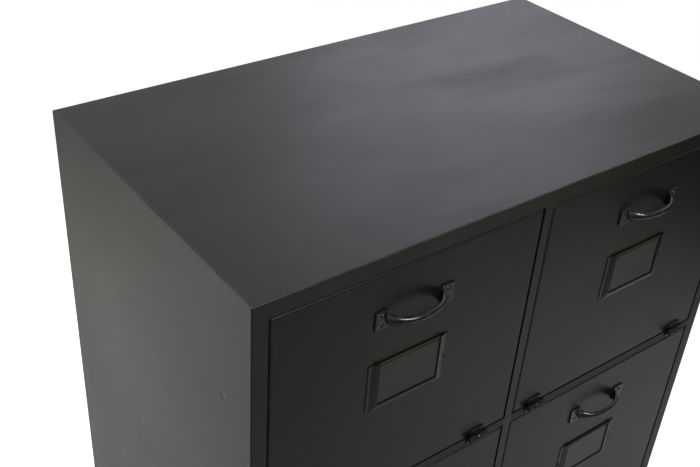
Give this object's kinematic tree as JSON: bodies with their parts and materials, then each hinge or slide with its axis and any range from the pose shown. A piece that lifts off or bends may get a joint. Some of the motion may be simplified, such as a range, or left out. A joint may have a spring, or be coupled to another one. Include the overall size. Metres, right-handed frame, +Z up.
{
  "type": "flap cabinet",
  "caption": "Tall sheet-metal flap cabinet: a folded case on short legs, with columns of drop-front flaps hinged at the bottom, each with a bow handle and a label holder.",
  "frame": {"origin": "on the floor, in the middle of the bounding box, which takes in the handles in front of the case", "axes": "+Z up, the flaps face -Y, +X to the right seen from the front"},
  "size_m": [0.7, 0.42, 1.325],
  "materials": {
    "case_lacquer": "satin black lacquer, brushed through to a dull steel grey on the outside",
    "flap_lacquer": "satin black lacquer",
    "handle_lacquer": "glossy black lacquer",
    "label_lacquer": "satin black lacquer",
    "card": "dark grey board with a brown cut edge",
    "hinge_lacquer": "satin black lacquer",
    "pin_steel": "darkened steel",
    "rivet_steel": "darkened steel, worn bright on the crown",
    "catch_plastic": "matt moulded",
    "glide_rubber": "matt"
  },
  "bodies": {
    "case": {"top_panel": "case_lacquer", "side_panel_left": "case_lacquer", "side_panel_right": "case_lacquer", "base_panel": "case_lacquer", "back_panel": "case_lacquer", "centre_partition": "case_lacquer", "shelves": "case_lacquer", "legs": "case_lacquer", "foot_glides": "glide_rubber", "magnet_catches": "catch_plastic", "hinge_frame_leaves": "hinge_lacquer", "hinge_pins": "pin_steel"},
    "flap_1_left": {"flap_1_left_panel": "flap_lacquer", "flap_1_left_handle": "handle_lacquer", "flap_1_left_label_frame": "label_lacquer", "flap_1_left_label_card": "card", "flap_1_left_hinge_leaves": "hinge_lacquer", "flap_1_left_rivets": "rivet_steel"},
    "flap_1_right": {"flap_1_right_panel": "flap_lacquer", "flap_1_right_handle": "handle_lacquer", "flap_1_right_label_frame": "label_lacquer", "flap_1_right_label_card": "card", "flap_1_right_hinge_leaves": "hinge_lacquer", "flap_1_right_rivets": "rivet_steel"},
    "flap_2_left": {"flap_2_left_panel": "flap_lacquer", "flap_2_left_handle": "handle_lacquer", "flap_2_left_label_frame": "label_lacquer", "flap_2_left_label_card": "card", "flap_2_left_hinge_leaves": "hinge_lacquer", "flap_2_left_rivets": "rivet_steel"},
    "flap_2_right": {"flap_2_right_panel": "flap_lacquer", "flap_2_right_handle": "handle_lacquer", "flap_2_right_label_frame": "label_lacquer", "flap_2_right_label_card": "card", "flap_2_right_hinge_leaves": "hinge_lacquer", "flap_2_right_rivets": "rivet_steel"},
    "flap_3_left": {"flap_3_left_panel": "flap_lacquer", "flap_3_left_handle": "handle_lacquer", "flap_3_left_label_frame": "label_lacquer", "flap_3_left_label_card": "card", "flap_3_left_hinge_leaves": "hinge_lacquer", "flap_3_left_rivets": "rivet_steel"},
    "flap_3_right": {"flap_3_right_panel": "flap_lacquer", "flap_3_right_handle": "handle_lacquer", "flap_3_right_label_frame": "label_lacquer", "flap_3_right_label_card": "card", "flap_3_right_hinge_leaves": "hinge_lacquer", "flap_3_right_rivets": "rivet_steel"},
    "flap_4_left": {"flap_4_left_panel": "flap_lacquer", "flap_4_left_handle": "handle_lacquer", "flap_4_left_label_frame": "label_lacquer", "flap_4_left_label_card": "card", "flap_4_left_hinge_leaves": "hinge_lacquer", "flap_4_left_rivets": "rivet_steel"},
    "flap_4_right": {"flap_4_right_panel": "flap_lacquer", "flap_4_right_handle": "handle_lacquer", "flap_4_right_label_frame": "label_lacquer", "flap_4_right_label_card": "card", "flap_4_right_hinge_leaves": "hinge_lacquer", "flap_4_right_rivets": "rivet_steel"}
  },
  "joints": [
    {"name": "flap_1_left_hinge", "type": "hinge", "parent": "case", "child": "flap_1_left", "pos_m": [-0.16925, -0.1945, 1.0185], "axis": [1, 0, 0], "range_deg": [0, 168]},
    {"name": "flap_1_right_hinge", "type": "hinge", "parent": "case", "child": "flap_1_right", "pos_m": [0.16925, -0.1945, 1.0185], "axis": [1, 0, 0], "range_deg": [0, 168]},
    {"name": "flap_2_left_hinge", "type": "hinge", "parent": "case", "child": "flap_2_left", "pos_m": [-0.16925, -0.1945, 0.718], "axis": [1, 0, 0], "range_deg": [0, 168]},
    {"name": "flap_2_right_hinge", "type": "hinge", "parent": "case", "child": "flap_2_right", "pos_m": [0.16925, -0.1945, 0.718], "axis": [1, 0, 0], "range_deg": [0, 168]},
    {"name": "flap_3_left_hinge", "type": "hinge", "parent": "case", "child": "flap_3_left", "pos_m": [-0.16925, -0.1945, 0.4175], "axis": [1, 0, 0], "range_deg": [0, 168]},
    {"name": "flap_3_right_hinge", "type": "hinge", "parent": "case", "child": "flap_3_right", "pos_m": [0.16925, -0.1945, 0.4175], "axis": [1, 0, 0], "range_deg": [0, 168]},
    {"name": "flap_4_left_hinge", "type": "hinge", "parent": "case", "child": "flap_4_left", "pos_m": [-0.16925, -0.1945, 0.117], "axis": [1, 0, 0], "range_deg": [0, 112]},
    {"name": "flap_4_right_hinge", "type": "hinge", "parent": "case", "child": "flap_4_right", "pos_m": [0.16925, -0.1945, 0.117], "axis": [1, 0, 0], "range_deg": [0, 112]}
  ]
}
